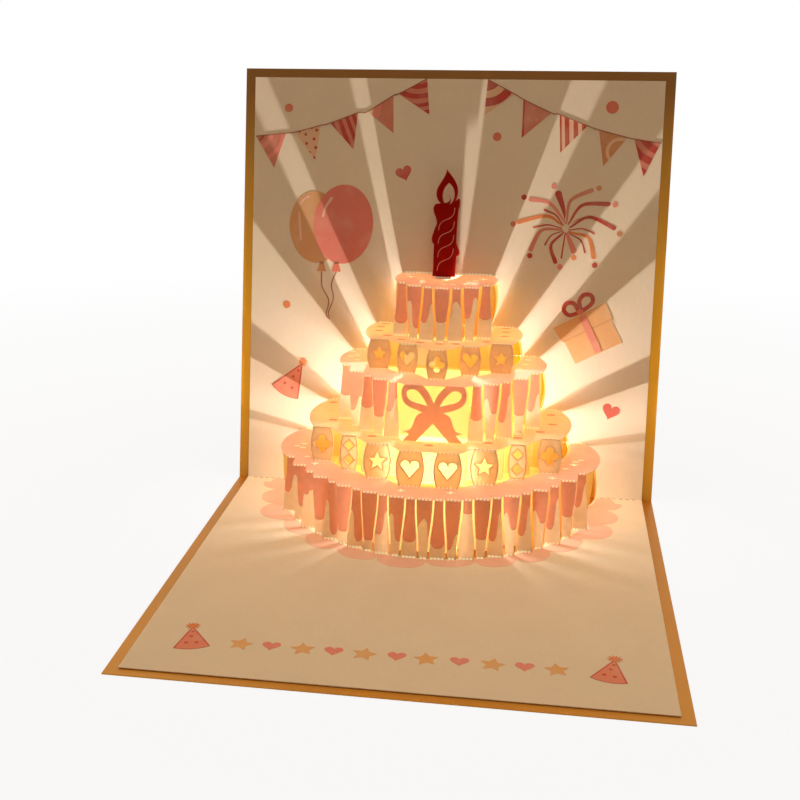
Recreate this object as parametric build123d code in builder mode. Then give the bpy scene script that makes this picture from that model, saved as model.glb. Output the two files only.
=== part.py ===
"""A pop up card, opened a little past a right angle, with a five-tier cut paper cake.

The folded cover stands with its base page on the table and its back page leaning back.
Inside it are the pop-up sheet, a yellow liner behind the cuts, a red candle card and the
small light unit that stands on the base inside the lowest tier.

X runs along the fold, -Y towards the reader and +Z up. The origin is on the table, under
the middle of the card.
"""

import math
import os
from collections import namedtuple

from build123d import *

os.makedirs("parts", exist_ok=True)

# The card, in millimetres and degrees
card_width = 180.0
page_length = 178.5
lean = 8.6
cover_thickness = 0.4
liner_thickness = 0.2
sheet_thickness = 0.3
cover_fold_radius = 0.8
side_margin = 4.1
end_margin = 3.7
cut_overrun = 2.0

# Rise of each tier, measured along the lean of the back page
lower_tier_rise = 22.9
wide_band_rise = 13.8
middle_tier_rise = 22.5
narrow_band_rise = 12.0
upper_tier_rise = 22.0

# Widest half width of each tier's shelf, and the shape of its rounded ends
lower_half_width = 66.8
wide_band_half_width = 54.5
middle_half_width = 43.4
narrow_band_half_width = 33.0
upper_half_width = 21.5
back_fold_share = 0.915
bulge_depth_share = 0.48

# How far each tier stands out from the back page at its middle
lower_depth = 76.0
wide_band_depth = 63.3
middle_depth = 52.0
narrow_band_depth = 42.5
upper_depth = 30.0

# Depth of the middle of each round front, from the back page
lower_arc_centre = 3.5
middle_arc_centre = 5.5
upper_arc_centre = 8.6

# Strips of the three round tiers, wide and narrow ends in turn
lower_strip_pitch = 5.37
lower_strips_beside_middle = 11
middle_strip_pitch = 5.52
middle_strips_each_side = 5
middle_first_strip = 16.6
upper_strip_pitch = 5.77
upper_strips_beside_middle = 3
strip_wide_end = 6.1
strip_narrow_end = 3.3

# Ornament tiles of the two bands, from the middle outwards
wide_tile_width = 11.0
wide_tile_place_shares = (0.134, 0.385, 0.615, 0.844)
wide_tile_depth_shares = (1.0, 0.895, 0.765, 0.62)
wide_tile_width_shares = (1.0, 1.0, 0.66, 0.86)
narrow_tile_width = 8.6
narrow_tile_place_shares = (0.0, 0.385, 0.755)
narrow_tile_depth_shares = (1.0, 0.82, 0.69)
narrow_tile_width_shares = (1.0, 1.0, 1.15)
tile_fold_share = 0.74
tile_opening_share = 0.5
heart_shares = ((0, -0.5), (0.5, 0.12), (0.3, 0.46), (0, 0.22))
star_points = 5
star_radius_shares = (0.55, 0.24)
diamond_share = 0.3
diamond_place_share = 0.42
flower_waist_share = 0.2
flower_reach_share = 0.52

# Bow of the middle tier: its outline as shares of its half width and of the tier's rise
bow_half_width = 12.9
bow_fold_inner_share = 0.39
bow_fold_outer_share = 0.89
bow_foot_inner_share = 0.51
bow_foot_outer_share = 0.93

# Liner, set back behind the strips and tiles and hung a little lower than the shelves
liner_setback = 6.0
liner_drop = 0.9
liner_side_gap = 0.9
liner_page_margin = 12.0
liner_bulge = 0.6
liner_lower_edge_shares = (0.18, 0.39, 0.591, 0.778, 0.955)
liner_wide_edge_shares = (0.253, 0.514, 0.706, 0.94)
liner_middle_edge_shares = (0.318, 0.69, 0.95)
liner_narrow_edge_shares = (0.9,)
liner_upper_edge_shares = (0.405, 0.945)
liner_lower_foot_share = 0.912
liner_wide_foot_share = 0.89
liner_middle_foot_share = 0.93
liner_narrow_foot_share = 0.84
liner_upper_foot_share = 0.895

# White patch glued to the liner in the narrow band
patch_width = 13.0
patch_height = 9.5
patch_thickness = 0.2
patch_place = -8.5
patch_lift = 0.4

# Candle card on the top shelf
candle_thickness = 0.4
candle_width = 9.6
candle_height = 30.5
candle_side_offset = -1.4
candle_depth = 6.6
candle_stem_width = 6.4
candle_foot_length = 5.0
candle_slot_clearance = 0.2

# Light unit, placed from the card's middle and from the fold
board_width = 36.0
board_length = 22.0
board_thickness = 0.8
board_corner = 1.5
board_side_offset = 6.0
board_depth = 15.5
pad_thickness = 1.0
pad_inset = 1.0
cell_diameter = 20.0
cell_thickness = 3.2
cell_rim = 0.5
cell_side_offset = 5.0
cell_clearance = 0.2
clip_thickness = 0.4
clip_width = 6.0
clip_foot = 1.6
led_diameter = 3.0
led_body_height = 4.4
led_flange_diameter = 3.7
led_flange_height = 0.8
led_lead_side = 0.5
led_hole_side = 0.9
led_lead_pitch = 1.27
led_lead_height = 4.0
led_side_offset = -11.0
led_depth_offset = 3.0
chip_diameter = 4.5
chip_height = 1.2
chip_side_offset = -13.5
chip_depth_offset = -6.0
leaf_width = 2.6
leaf_length = 8.0
leaf_thickness = 0.2
leaf_lift = 0.8
leaf_side_offset = -15.5
leaf_depth_offset = 9.0
tongue_width = 4.0
tongue_thickness = 0.2
tongue_lift = 0.3
tongue_reach = 1.2
tongue_tab = 6.0

# Directions and the place of the fold
lean_sin = math.sin(math.radians(lean))
lean_cos = math.cos(math.radians(lean))
fold_mitre = (1 - lean_sin) / lean_cos
stack_thickness = sheet_thickness + liner_thickness + cover_thickness
fold_z = stack_thickness
fold_y = (page_length - stack_thickness * lean_cos - page_length * lean_sin) / 2


def level_plane(slant, lift=0.0):
    """Level plane at a height along the back page: x across, y forward, normal down."""
    origin = (0, fold_y + slant * lean_sin, fold_z + slant * lean_cos + lift)
    return Plane(origin=origin, x_dir=(1, 0, 0), z_dir=(0, 0, -1))


def upright_plane(depth, behind=0.0):
    """Plane parallel to the back page: x across, y up its lean, normal forward."""
    origin = (0, fold_y - depth + behind * lean_cos, fold_z - behind * lean_sin)
    return Plane(origin=origin, x_dir=(1, 0, 0), z_dir=(0, -lean_cos, lean_sin))


def page_profile(inner, outer, base_length, back_length):
    """Side view of a folded sheet that lies between two offsets behind the page faces."""
    def back_point(offset, length):
        return (
            fold_y + offset * lean_cos + length * lean_sin,
            fold_z - offset * lean_sin + length * lean_cos,
        )

    def corner(offset):
        return (fold_y + offset * fold_mitre, fold_z - offset)

    return [
        (fold_y - base_length, fold_z - inner),
        corner(inner),
        back_point(inner, back_length),
        back_point(outer, back_length),
        corner(outer),
        (fold_y - base_length, fold_z - outer),
    ]


# Tiers: each has a floor and a top along the back page, and panels from left to right
Panel = namedtuple("Panel", "depth top_left top_right foot_left foot_right draw")
Tier = namedtuple("Tier", "floor top half_width panels")


def arc_depth(x, half_width, centre, depth):
    """Depth of a round front at a place across it."""
    return centre + (depth - centre) * math.sqrt(1 - (x / half_width) ** 2)


def mirrored(panels):
    """Panels of the right half, with their mirror images, from left to right."""
    left = [
        Panel(p.depth, -p.top_right, -p.top_left, -p.foot_right, -p.foot_left, p.draw)
        for p in panels
        if p.foot_left + p.foot_right > 0
    ]
    return left[::-1] + panels


def draw_strip(panel, floor, rise):
    """Strip with gently curved sides, wide at one end and narrow at the other."""
    top = floor + rise
    with BuildLine() as outline:
        for foot_x, top_x in ((panel.foot_left, panel.top_left), (panel.foot_right, panel.top_right)):
            bend = ((foot_x + top_x) / 2, floor + rise / 2)
            TangentArc((foot_x, floor), bend, tangent=(0, 1))
            TangentArc((top_x, top), bend, tangent=(0, -1))
        Line((panel.foot_left, floor), (panel.foot_right, floor))
        Line((panel.top_left, top), (panel.top_right, top))
    make_face(outline.edges())


def draw_barrel(panel, floor, rise, width):
    """Tile body with sides that swell between its two folds."""
    middle = (panel.foot_left + panel.foot_right) / 2
    with BuildLine() as outline:
        left = ThreePointArc(
            (panel.foot_left, floor),
            (middle - width / 2, floor + rise / 2),
            (panel.top_left, floor + rise),
        )
        right = ThreePointArc(
            (panel.foot_right, floor),
            (middle + width / 2, floor + rise / 2),
            (panel.top_right, floor + rise),
        )
        Line(left @ 0, right @ 0)
        Line(left @ 1, right @ 1)
    make_face(outline.edges())
    return middle


def cut_heart(middle, centre, size):
    """Heart opening, point down."""
    tip, shoulder, lobe, dip = (
        (across * size, up * size) for across, up in heart_shares
    )
    with BuildSketch(mode=Mode.PRIVATE) as heart:
        with BuildLine():
            Line(tip, shoulder)
            ThreePointArc(shoulder, lobe, dip)
            mirror(about=Plane.YZ)
        make_face()
    with Locations((middle, centre)):
        add(heart.sketch, mode=Mode.SUBTRACT)


def cut_star(middle, centre, size):
    """Five-pointed star opening."""
    points = []
    for step in range(2 * star_points):
        radius = size * star_radius_shares[step % 2]
        angle = math.pi * (0.5 + step / star_points)
        points.append((middle + radius * math.cos(angle), centre + radius * math.sin(angle)))
    with BuildLine() as outline:
        Polyline(*points, close=True)
    make_face(outline.edges(), mode=Mode.SUBTRACT)


def cut_diamond(middle, centre, size):
    """Two small diamonds, one above the other."""
    half = size * diamond_share
    for side in (-1, 1):
        height = centre + side * size * diamond_place_share
        with BuildLine() as outline:
            Polyline(
                (middle - half, height),
                (middle, height + half),
                (middle + half, height),
                (middle, height - half),
                close=True,
            )
        make_face(outline.edges(), mode=Mode.SUBTRACT)


def cut_flower(middle, centre, size):
    """Flower of four round petals."""
    near = flower_waist_share * size
    far = flower_reach_share * size
    corners = [(-near, near), (near, near), (near, -near), (-near, -near)]
    tips = [(0, far), (far, 0), (0, -far), (-far, 0)]
    with BuildLine() as outline:
        for start, tip, end in zip(corners, tips, corners[1:] + corners[:1]):
            ThreePointArc(
                (middle + start[0], centre + start[1]),
                (middle + tip[0], centre + tip[1]),
                (middle + end[0], centre + end[1]),
            )
    make_face(outline.edges(), mode=Mode.SUBTRACT)


def tile_drawer(cut, width):
    """Drawing function of a tile with one kind of opening."""
    def draw(panel, floor, rise):
        middle = draw_barrel(panel, floor, rise, width)
        cut(middle, floor + rise / 2, rise * tile_opening_share)
    return draw


def draw_bow(panel, floor, rise):
    """Gift bow with two open loops and two tails that end at the folds."""
    def at(across_share, up_share):
        return (across_share * bow_half_width, floor + up_share * rise)

    with BuildSketch(mode=Mode.PRIVATE) as half_bow:
        with BuildLine():
            outer = Line(at(bow_fold_inner_share, 1), at(bow_fold_outer_share, 1))
            loop = Spline(outer @ 1, at(1, 0.84), at(0.88, 0.66), at(0.56, 0.565), at(0.31, 0.51))
            tail = Spline(loop @ 1, at(0.55, 0.41), at(0.64, 0.26), at(0.9, 0.18))
            barb = Line(tail @ 1, at(0.72, 0.13))
            end = Line(barb @ 1, at(bow_foot_outer_share, 0))
            foot = Line(end @ 1, at(bow_foot_inner_share, 0))
            crotch = Line(foot @ 1, at(0, 0.33))
            middle = Line(crotch @ 1, at(0, 0.68))
            Spline(middle @ 1, at(0.14, 0.85), outer @ 0)
        make_face()
        with BuildLine():
            Spline(
                at(0.2, 0.63), at(0.56, 0.69), at(0.8, 0.77), at(0.82, 0.87), at(0.66, 0.915),
                at(0.42, 0.84), at(0.2, 0.63),
            )
        make_face(mode=Mode.SUBTRACT)
    add(half_bow.sketch)
    mirror(half_bow.sketch, about=Plane.YZ)


def strip(x, depth, wide_top):
    """Panel record of one strip."""
    top = (strip_wide_end if wide_top else strip_narrow_end) / 2
    foot = (strip_narrow_end if wide_top else strip_wide_end) / 2
    return Panel(depth, x - top, x + top, x - foot, x + foot, draw_strip)


def round_tier(floor, rise, half_width, centre, depth, places):
    """Tier of strips round a curved front, with every second strip wide at its top."""
    panels = [
        strip(x, arc_depth(x, half_width, centre, depth), wide_top)
        for x, wide_top in places
    ]
    return Tier(floor, floor + rise, half_width, mirrored(panels))


def band_tier(floor, rise, half_width, depth, tile_width, places, depths, widths, cuts):
    """Tier of ornament tiles that stand apart from each other."""
    panels = []
    for place, depth_share, width_share, cut in zip(places, depths, widths, cuts):
        width = tile_width * width_share
        fold = width * tile_fold_share / 2
        x = place * half_width
        draw = tile_drawer(cut, width)
        panels.append(Panel(depth * depth_share, x - fold, x + fold, x - fold, x + fold, draw))
    return Tier(floor, floor + rise, half_width, mirrored(panels))


lower_tier = round_tier(
    0.0, lower_tier_rise, lower_half_width, lower_arc_centre, lower_depth,
    [(i * lower_strip_pitch, i % 2 == 0) for i in range(lower_strips_beside_middle + 1)],
)
wide_band = band_tier(
    lower_tier.top, wide_band_rise, wide_band_half_width, wide_band_depth, wide_tile_width,
    wide_tile_place_shares, wide_tile_depth_shares, wide_tile_width_shares,
    (cut_heart, cut_star, cut_diamond, cut_flower),
)
middle_tier = round_tier(
    wide_band.top, middle_tier_rise, middle_half_width, middle_arc_centre, middle_depth,
    [
        (middle_first_strip + i * middle_strip_pitch, i % 2 == 1)
        for i in range(middle_strips_each_side)
    ],
)
narrow_band = band_tier(
    middle_tier.top, narrow_band_rise, narrow_band_half_width, narrow_band_depth,
    narrow_tile_width, narrow_tile_place_shares, narrow_tile_depth_shares,
    narrow_tile_width_shares, (cut_flower, cut_heart, cut_star),
)
upper_tier = round_tier(
    narrow_band.top, upper_tier_rise, upper_half_width, upper_arc_centre, upper_depth,
    [(i * upper_strip_pitch, i % 2 == 0) for i in range(upper_strips_beside_middle + 1)],
)

# The bow takes the middle of the middle tier
bow_depth = arc_depth(
    bow_half_width * (bow_fold_inner_share + bow_fold_outer_share) / 2,
    middle_half_width, middle_arc_centre, middle_depth,
)
bow = Panel(
    bow_depth,
    -bow_half_width * bow_fold_outer_share, bow_half_width * bow_fold_outer_share,
    -bow_half_width * bow_foot_outer_share, bow_half_width * bow_foot_outer_share,
    draw_bow,
)
middle_tier = middle_tier._replace(
    panels=sorted(middle_tier.panels + [bow], key=lambda panel: panel.foot_left)
)
cake = (lower_tier, wide_band, middle_tier, narrow_band, upper_tier)


def shelf_line(tier, inset, lap, back_edge):
    """Edge of a tier's shelf: rounded ends and the line through the tops of its panels."""
    last = tier.panels[-1]
    back = tier.half_width * back_fold_share - inset
    swell = tier.half_width - inset
    swell_depth = last.depth * bulge_depth_share
    front = []
    for panel in tier.panels:
        front += [(panel.top_left, panel.depth - lap), (panel.top_right, panel.depth - lap)]
    with BuildLine() as outline:
        ThreePointArc((-back, 0), (-swell, swell_depth), front[0])
        Polyline(*front)
        ThreePointArc(front[-1], (swell, swell_depth), (back, 0))
        Polyline((back, 0), (back, back_edge), (-back, back_edge), (-back, 0))
    make_face(outline.edges())


def cut_line(tier, start, way, inset, lap):
    """Cut that frees a tier from the flat sheet, from its back fold to its feet.

    Each flat length from the back fold is laid out from start, forwards or backwards.
    """
    rise = tier.top - tier.floor
    last = tier.panels[-1]
    back = tier.half_width * back_fold_share - inset
    swell = tier.half_width - inset

    def at(x, along):
        return (x, start + way * along)

    end_foot = last.depth + rise - lap
    corner = last.foot_right + lap
    feet = [at(-corner, end_foot)]
    for panel in tier.panels:
        foot = panel.depth + rise - lap
        feet += [at(panel.foot_left, foot), at(panel.foot_right, foot)]
    feet.append(at(corner, end_foot))
    with BuildLine() as outline:
        for side, foot in ((-1, feet[0]), (1, feet[-1])):
            top = at(side * last.top_right, last.depth)
            ThreePointArc(at(side * back, 0), at(side * swell, last.depth * bulge_depth_share), top)
            Line(top, foot)
        Polyline(*feet)
        Line(at(back, 0), at(-back, 0))
    make_face(outline.edges())


def pop_up_sheet(tiers, behind, thickness, base_length, back_length, half_width, inset):
    """Folded sheet with its tiers cut free and pushed out, as one piece.

    At every fold the two leaves share half a thickness, so that they join as one solid.
    """
    lap = thickness / 2
    backward = (0, 1, 0)
    back_edge = -(behind + lap) / lean_cos
    cut_reach = behind + thickness + cut_overrun
    with BuildPart() as sheet:
        with BuildSketch(Plane.YZ.offset(-half_width)):
            Polygon(*page_profile(behind, behind + thickness, base_length, back_length), align=None)
        extrude(amount=2 * half_width)
        with BuildSketch(upright_plane(0)):
            for tier in tiers:
                cut_line(tier, tier.top, -1, inset, lap)
                with Locations((0, tier.top)):
                    Rectangle(2 * tier.half_width, 2 * lap, mode=Mode.SUBTRACT)
        extrude(amount=cut_reach, dir=backward, both=True, mode=Mode.SUBTRACT)
        with BuildSketch(level_plane(tiers[0].floor)):
            cut_line(tiers[0], tiers[0].floor - tiers[0].top, 1, inset, lap)
        extrude(amount=cut_reach, both=True, mode=Mode.SUBTRACT)
        for level, tier in enumerate(tiers):
            with BuildSketch(level_plane(tier.top)):
                shelf_line(tier, inset, lap, back_edge)
                for above in tiers[level + 1:level + 2]:
                    with BuildSketch(mode=Mode.PRIVATE) as opening:
                        cut_line(above, above.floor - above.top, 1, inset, lap)
                    add(opening.sketch, mode=Mode.SUBTRACT)
            extrude(amount=thickness)
        for tier in tiers:
            foot = tier.floor - lap
            for depth in sorted({round(panel.depth, 6) for panel in tier.panels}):
                with BuildSketch(upright_plane(depth)):
                    for panel in tier.panels:
                        if round(panel.depth, 6) == depth:
                            panel.draw(panel, foot, tier.top - foot)
                extrude(amount=thickness / lean_cos, dir=backward)
    return sheet


def finish(piece, name):
    """Label a finished piece and write it."""
    piece.part.label = name
    export_step(piece.part, "parts/" + name + ".step")


# Cover, with its outer corner rounded along the fold
cover_inner = sheet_thickness + liner_thickness
with BuildPart() as cover:
    with BuildSketch(Plane.YZ.offset(-card_width / 2)):
        Polygon(*page_profile(cover_inner, stack_thickness, page_length, page_length), align=None)
        fillet(vertices().sort_by(Axis.X)[2:4].sort_by(Axis.Y)[0], cover_fold_radius)
    extrude(amount=card_width)
finish(cover, "cover")

# Pop-up sheet, the cake
sheet_half_width = card_width / 2 - side_margin
sheet_page_length = page_length - end_margin
inner_sheet = pop_up_sheet(
    cake, 0.0, sheet_thickness, sheet_page_length, sheet_page_length, sheet_half_width, 0.0
)

# Slot in the top shelf for the stem of the candle card
stem_slot_width = candle_stem_width + 2 * candle_slot_clearance
stem_slot_length = candle_thickness / lean_cos + 2 * candle_slot_clearance
stem_slot_middle = candle_depth - candle_thickness / lean_cos / 2
with BuildSketch(level_plane(upper_tier.top, cut_overrun)) as stem_slot:
    with Locations((candle_side_offset, stem_slot_middle)):
        Rectangle(stem_slot_width, stem_slot_length)
with inner_sheet:
    extrude(stem_slot.sketch, amount=sheet_thickness + 2 * cut_overrun, mode=Mode.SUBTRACT)
finish(inner_sheet, "inner_sheet")


def draw_plain(panel, floor, rise):
    """Plain upright panel of the liner, with rounded outer edges at the ends of a tier."""
    middle = (panel.foot_left + panel.foot_right) / 2
    with BuildLine() as outline:
        sides = []
        for top, foot in ((panel.top_left, panel.foot_left), (panel.top_right, panel.foot_right)):
            if top == foot:
                sides.append(Line((foot, floor), (top, floor + rise)))
            else:
                swell = math.copysign(liner_bulge, middle)
                bend = ((top + foot) / 2 + swell, floor + rise / 2)
                sides.append(ThreePointArc((foot, floor), bend, (top, floor + rise)))
        Line(sides[0] @ 0, sides[1] @ 0)
        Line(sides[0] @ 1, sides[1] @ 1)
    make_face(outline.edges())


def liner_tier(tier, edge_shares, foot_share):
    """Plain tier of a few wide panels, set back behind a tier of the cake."""
    floor = tier.floor - (liner_drop if tier.floor > 0 else sheet_thickness) / lean_cos
    edges = [share * tier.half_width for share in (0.0,) + edge_shares]
    panels = []
    for inner, outer in zip(edges, edges[1:]):
        covered = [
            panel.depth for panel in tier.panels
            if panel.top_right > inner and min(panel.top_left, panel.foot_left) < outer
        ]
        foot = foot_share * tier.half_width if outer == edges[-1] else outer
        left = (inner, inner) if inner > 0 else (-outer, -foot)
        panels.append(Panel(min(covered) - liner_setback, left[0], outer, left[1], foot, draw_plain))
    return Tier(floor, tier.top - liner_drop / lean_cos, tier.half_width, mirrored(panels))


# Yellow liner, a second pop-up sheet between the cake sheet and the cover
liner_tiers = (
    liner_tier(lower_tier, liner_lower_edge_shares, liner_lower_foot_share),
    liner_tier(wide_band, liner_wide_edge_shares, liner_wide_foot_share),
    liner_tier(middle_tier, liner_middle_edge_shares, liner_middle_foot_share),
    liner_tier(narrow_band, liner_narrow_edge_shares, liner_narrow_foot_share),
    liner_tier(upper_tier, liner_upper_edge_shares, liner_upper_foot_share),
)
liner_half_width = lower_half_width + liner_page_margin
liner_base_length = lower_depth + liner_page_margin
liner_back_length = upper_tier.top + liner_page_margin
yellow_liner = pop_up_sheet(
    liner_tiers, sheet_thickness, liner_thickness, liner_base_length, liner_back_length,
    liner_half_width, liner_side_gap,
)

# Candle card, with a stem through the top shelves and a foot bent forward between them
shelf_top = upper_tier.top
candle_base = shelf_top + candle_thickness * lean_sin / lean_cos
candle_plane = upright_plane(candle_depth)


def candle_at(across_share, up_share):
    """Point of the candle's outline, in shares of its width and of its body's height."""
    return (
        candle_side_offset + across_share * candle_width,
        candle_base + up_share * candle_height,
    )


with BuildPart() as candle:
    with BuildSketch(candle_plane):
        with BuildLine():
            left = Line(candle_at(-0.5, 0), candle_at(-0.5, 0.44))
            drip = Spline(left @ 1, candle_at(-0.6, 0.5), candle_at(-0.56, 0.58), candle_at(-0.48, 0.67))
            waist = Spline(drip @ 1, candle_at(-0.47, 0.82), candle_at(-0.57, 0.92), candle_at(-0.47, 1))
            brim = Line(waist @ 1, candle_at(-0.27, 1.01))
            flame = Spline(
                brim @ 1, candle_at(-0.46, 1.12), candle_at(-0.44, 1.19), candle_at(-0.25, 1.31),
                candle_at(-0.04, 1.48),
            )
            back = Spline(
                flame @ 1, candle_at(0.24, 1.37), candle_at(0.46, 1.25), candle_at(0.5, 1.15),
                candle_at(0.42, 1.05),
            )
            spike = Spline(back @ 1, candle_at(0.56, 1.08), candle_at(0.61, 1.01), candle_at(0.56, 0.93))
            side = Spline(spike @ 1, candle_at(0.53, 0.76), candle_at(0.52, 0.5))
            bump = Spline(side @ 1, candle_at(0.61, 0.4), candle_at(0.66, 0.33), candle_at(0.54, 0.28))
            right = Line(bump @ 1, candle_at(0.5, 0))
            Line(right @ 1, left @ 0)
        make_face()
        with BuildLine():
            inside = ThreePointArc(candle_at(0.08, 1.28), candle_at(-0.16, 1.12), candle_at(-0.09, 1.02))
            hook = ThreePointArc(inside @ 1, candle_at(0, 1.02), candle_at(0.1, 1.12))
            wick = ThreePointArc(hook @ 1, candle_at(0.2, 1.07), candle_at(0.16, 1))
            ThreePointArc(wick @ 1, candle_at(0.33, 1.12), inside @ 0)
        make_face(mode=Mode.SUBTRACT)
    extrude(amount=-candle_thickness)
    stem_reach = (sheet_thickness + candle_thickness) / lean_cos
    with BuildSketch(candle_plane):
        with Locations((candle_side_offset, shelf_top)):
            Rectangle(candle_stem_width, 2 * stem_reach)
    extrude(amount=-candle_thickness)
    with BuildSketch(level_plane(shelf_top, -sheet_thickness)):
        with Locations((candle_side_offset, candle_depth)):
            Rectangle(candle_stem_width, candle_foot_length, align=(Align.CENTER, Align.MIN))
    extrude(amount=candle_thickness)
finish(candle, "candle")

# White patch on the liner's panel in the narrow band
patch_panel = liner_tiers[3].panels[0]
with BuildPart() as liner_patch:
    with BuildSketch(upright_plane(patch_panel.depth)):
        with Locations((patch_place, middle_tier.top + patch_lift)):
            Rectangle(patch_width, patch_height, align=(Align.CENTER, Align.MIN))
    extrude(amount=patch_thickness)
finish(liner_patch, "liner_patch")
finish(yellow_liner, "yellow_liner")

# Light unit on the cover, behind the liner's lowest panels
floor_z = fold_z - sheet_thickness - liner_thickness
board_y = fold_y - board_depth
pad_top = floor_z + pad_thickness
board_top = pad_top + board_thickness
unit_floor = Plane(origin=(board_side_offset, board_y, floor_z))
unit_top = Plane(origin=(board_side_offset, board_y, board_top))

with BuildPart() as foam_pad:
    with BuildSketch(unit_floor):
        RectangleRounded(board_width - 2 * pad_inset, board_length - 2 * pad_inset, board_corner)
    extrude(amount=pad_thickness)
finish(foam_pad, "foam_pad")

with BuildPart() as circuit_board:
    with BuildSketch(unit_floor.offset(pad_thickness)):
        RectangleRounded(board_width, board_length, board_corner)
        with Locations((led_side_offset, led_depth_offset)):
            with GridLocations(2 * led_lead_pitch, 0, 2, 1):
                Rectangle(led_hole_side, led_hole_side, mode=Mode.SUBTRACT)
    extrude(amount=board_thickness)
finish(circuit_board, "circuit_board")

# Coin cell, held down by a bridge clip
with BuildPart() as coin_cell:
    with BuildSketch(unit_top):
        with Locations((cell_side_offset, 0)):
            Circle(cell_diameter / 2)
    extrude(amount=cell_thickness)
    chamfer(faces().sort_by(Axis.Z)[-1].edges(), cell_rim)
finish(coin_cell, "coin_cell")

clip_span = cell_diameter + 2 * cell_clearance
clip_height = cell_thickness + cell_clearance
with BuildPart() as cell_clip:
    with BuildSketch(Plane(
        origin=(board_side_offset + cell_side_offset, board_y - clip_width / 2, board_top),
        x_dir=(1, 0, 0), z_dir=(0, -1, 0),
    )):
        with BuildLine():
            half = clip_span / 2
            Polyline(
                (-half - clip_foot, 0), (-half, 0), (-half, clip_height), (half, clip_height),
                (half, 0), (half + clip_foot, 0), (half + clip_foot, clip_thickness),
                (half + clip_thickness, clip_thickness),
                (half + clip_thickness, clip_height + clip_thickness),
                (-half - clip_thickness, clip_height + clip_thickness),
                (-half - clip_thickness, clip_thickness),
                (-half - clip_foot, clip_thickness), (-half - clip_foot, 0),
            )
        make_face()
    extrude(amount=-clip_width)
finish(cell_clip, "cell_clip")

# Light-emitting diode on two legs, its round body pointing up
led_plane = Plane(origin=(board_side_offset + led_side_offset, board_y + led_depth_offset, board_top))
with BuildPart() as led_body:
    with BuildSketch(led_plane.offset(led_lead_height)):
        Circle(led_flange_diameter / 2)
    extrude(amount=led_flange_height)
    with BuildSketch(led_plane.offset(led_lead_height)):
        Circle(led_diameter / 2)
    extrude(amount=led_body_height)
finish(led_body, "led_body")

with BuildPart() as led_leads:
    with BuildSketch(led_plane.offset(-board_thickness)):
        with GridLocations(2 * led_lead_pitch, 0, 2, 1):
            Rectangle(led_lead_side, led_lead_side)
    extrude(amount=board_thickness + led_lead_height)
finish(led_leads, "led_leads")

with BuildPart() as chip_blob:
    with BuildSketch(unit_top):
        with Locations((chip_side_offset, chip_depth_offset)):
            Circle(chip_diameter / 2)
    extrude(amount=chip_height)
finish(chip_blob, "chip_blob")

# Switch: a springy leaf that a plastic tongue on the back page keeps off the board
leaf_x = board_side_offset + leaf_side_offset
leaf_y = board_y + leaf_depth_offset
with BuildPart() as contact_leaf:
    with BuildSketch(Plane(
        origin=(leaf_x - leaf_width / 2, leaf_y, board_top), x_dir=(0, 1, 0), z_dir=(1, 0, 0),
    )):
        with BuildLine():
            Polyline(
                (-leaf_length, 0), (-leaf_length / 2, 0), (0, leaf_lift),
                (0, leaf_lift + leaf_thickness), (-leaf_length / 2, leaf_thickness),
                (-leaf_length, leaf_thickness), (-leaf_length, 0),
            )
        make_face()
    extrude(amount=leaf_width)
finish(contact_leaf, "contact_leaf")

# Plastic tongue, glued to the cover's back page and drawn out from under the leaf
tab_offset = cover_inner - tongue_thickness
tongue_level = board_top + tongue_lift


def tongue_point(offset, rise):
    """Point on the back page's side of the tongue, seen from the side."""
    return (
        fold_y + offset / lean_cos + (rise - fold_z) * lean_sin / lean_cos,
        rise,
    )


with BuildPart() as pull_tongue:
    with BuildSketch(Plane.YZ.offset(leaf_x - tongue_width / 2)):
        with BuildLine():
            Polyline(
                (leaf_y - tongue_reach, tongue_level),
                tongue_point(cover_inner, tongue_level),
                tongue_point(cover_inner, tongue_level + tongue_tab),
                tongue_point(tab_offset, tongue_level + tongue_tab),
                tongue_point(tab_offset, tongue_level + tongue_thickness),
                (leaf_y - tongue_reach, tongue_level + tongue_thickness),
                (leaf_y - tongue_reach, tongue_level),
            )
        make_face()
    extrude(amount=tongue_width)
finish(pull_tongue, "pull_tongue")
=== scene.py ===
"""Looks of the pop up card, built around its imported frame.

The frame's nodes keep their shapes. This script gives them materials, adds the print on the
pages and the marks at the folds as thin flat pieces, and lights the card from its own light
unit.
"""

import math
from collections import namedtuple

import bmesh
import bpy
from mathutils import Matrix, Vector


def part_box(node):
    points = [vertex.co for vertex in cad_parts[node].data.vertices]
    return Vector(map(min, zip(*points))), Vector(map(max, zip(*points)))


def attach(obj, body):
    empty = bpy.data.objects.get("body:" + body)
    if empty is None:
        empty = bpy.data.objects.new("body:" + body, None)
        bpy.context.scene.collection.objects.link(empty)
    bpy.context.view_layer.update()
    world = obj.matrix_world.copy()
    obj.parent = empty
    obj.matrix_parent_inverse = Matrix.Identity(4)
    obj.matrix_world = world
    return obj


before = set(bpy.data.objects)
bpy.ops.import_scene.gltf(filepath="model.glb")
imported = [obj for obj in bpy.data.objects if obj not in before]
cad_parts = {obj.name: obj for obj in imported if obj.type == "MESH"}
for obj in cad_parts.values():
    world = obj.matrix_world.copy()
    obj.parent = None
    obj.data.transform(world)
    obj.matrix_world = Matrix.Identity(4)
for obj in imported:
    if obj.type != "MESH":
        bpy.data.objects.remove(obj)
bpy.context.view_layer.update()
scene = bpy.context.scene

# Sizes repeated from the construction source, in millimetres
MM = 0.001
CARD_WIDTH = 180.0
LEAN = math.radians(8.6)
FOLD_Y, FOLD_Z = 75.459, 0.9
WIDE_END, NARROW_END = 6.1, 3.3
BOW_HALF_WIDTH = 12.9
BACK_FOLD_SHARE = 0.915
CANDLE_OFFSET, CANDLE_WIDTH, CANDLE_FOOT, CANDLE_HEIGHT, CANDLE_DEPTH = -1.4, 9.6, 93.26, 30.5, 6.6

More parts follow.
